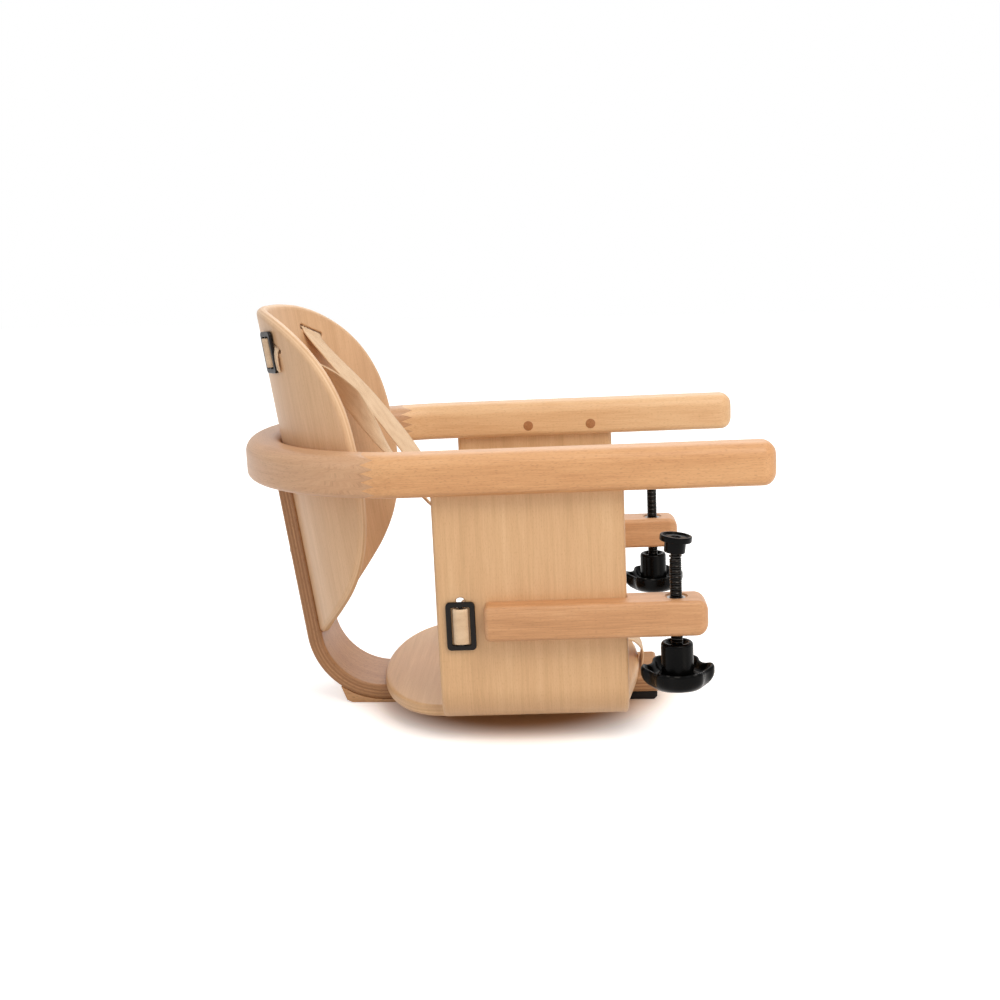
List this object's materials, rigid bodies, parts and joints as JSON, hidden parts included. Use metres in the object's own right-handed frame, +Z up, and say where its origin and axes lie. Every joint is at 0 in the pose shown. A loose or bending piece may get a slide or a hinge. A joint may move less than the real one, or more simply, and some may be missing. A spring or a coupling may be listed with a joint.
{
  "type": "hook-on table chair",
  "caption": "Wooden child seat that hooks on a table: a bent rail with two arms, a moulded ply seat and backrest, a harness, and screw clamps below.",
  "frame": {"origin": "on the floor plane the chair stands on, under the middle of its bounding box", "axes": "+X towards the table, +Y to the sitter's left, +Z up"},
  "size_m": [0.459, 0.3626, 0.365],
  "materials": {
    "beech": "clear oiled beech, fine flecks",
    "bent_beech": "clear oiled bent beech, paler",
    "moulded_ply": "clear lacquered beech veneer",
    "laminated_strip": "laminated beech, clear lacquer",
    "end_grain_plug": "end grain beech",
    "rubber": "moulded black rubber",
    "steel": "zinc plated",
    "black_steel": "black oxide thread",
    "black_plastic": "moulded black nylon, satin",
    "webbing": "undyed woven cotton webbing"
  },
  "bodies": {
    "frame": {"back_rail": "bent_beech", "left_arm": "beech", "right_arm": "beech", "seat_shell": "moulded_ply", "backrest_shell": "moulded_ply", "spine": "laminated_strip", "rear_pad": "laminated_strip", "front_foot": "rubber", "foot_screw": "steel", "left_rear_dowel": "end_grain_plug", "right_rear_dowel": "end_grain_plug", "left_front_dowel": "end_grain_plug", "right_front_dowel": "end_grain_plug", "rear_seat_screw": "steel", "front_seat_screw": "steel", "left_rail_screw": "steel", "right_rail_screw": "steel", "left_back_screw": "steel", "right_back_screw": "steel", "left_clamp_arm": "beech", "right_clamp_arm": "beech", "left_threaded_insert": "steel", "right_threaded_insert": "steel", "left_rear_clamp_arm_screw": "steel", "right_rear_clamp_arm_screw": "steel", "left_front_clamp_arm_screw": "steel", "right_front_clamp_arm_screw": "steel", "left_waist_adjuster": "black_plastic", "right_waist_adjuster": "black_plastic", "left_shoulder_adjuster": "black_plastic", "right_shoulder_adjuster": "black_plastic", "left_waist_strap": "webbing", "right_waist_strap": "webbing", "left_shoulder_strap": "webbing", "right_shoulder_strap": "webbing", "crotch_strap": "webbing", "buckle_body": "black_plastic", "left_buckle_tongue": "black_plastic", "right_buckle_tongue": "black_plastic"},
    "left_carrier": {"left_snap_ring": "steel"},
    "left_screw": {"left_clamp_screw": "black_steel", "left_knob": "black_plastic"},
    "left_pad": {"left_swivel_pad": "black_plastic"},
    "right_carrier": {"right_snap_ring": "steel"},
    "right_screw": {"right_clamp_screw": "black_steel", "right_knob": "black_plastic"},
    "right_pad": {"right_swivel_pad": "black_plastic"},
    "release_button": {"buckle_button": "black_plastic"}
  },
  "joints": [
    {"name": "left_clamp_travel", "type": "slide", "parent": "frame", "child": "left_carrier", "axis": [-0.0214, 0, 0.9998], "range_m": [-0.031, 0.0085]},
    {"name": "left_screw_spin", "type": "hinge", "parent": "left_carrier", "child": "left_screw", "pos_m": [0.15037, 0.154, 0.12244], "axis": [-0.0214, 0, 0.9998], "range_deg": [-7450, 2045]},
    {"name": "left_pad_tilt", "type": "hinge", "parent": "left_carrier", "child": "left_pad", "pos_m": [0.14926, 0.154, 0.17426], "axis": [0, 1, 0], "range_deg": [-8, 8]},
    {"name": "right_clamp_travel", "type": "slide", "parent": "frame", "child": "right_carrier", "axis": [-0.0214, 0, 0.9998], "range_m": [-0.031, 0.0085]},
    {"name": "right_screw_spin", "type": "hinge", "parent": "right_carrier", "child": "right_screw", "pos_m": [0.15037, -0.154, 0.12244], "axis": [-0.0214, 0, 0.9998], "range_deg": [-7450, 2045]},
    {"name": "right_pad_tilt", "type": "hinge", "parent": "right_carrier", "child": "right_pad", "pos_m": [0.14926, -0.154, 0.17426], "axis": [0, 1, 0], "range_deg": [-15, 1]},
    {"name": "button_press", "type": "slide", "parent": "frame", "child": "release_button", "axis": [-0.9998, 0, -0.0214], "range_m": [0, 0.0024], "stiffness_N_per_m": 500}
  ],
  "couplings": [
    {"joint": "left_screw_spin", "follows": "left_clamp_travel", "rad_per_m": 4188.8},
    {"joint": "right_screw_spin", "follows": "right_clamp_travel", "rad_per_m": 4188.8}
  ]
}
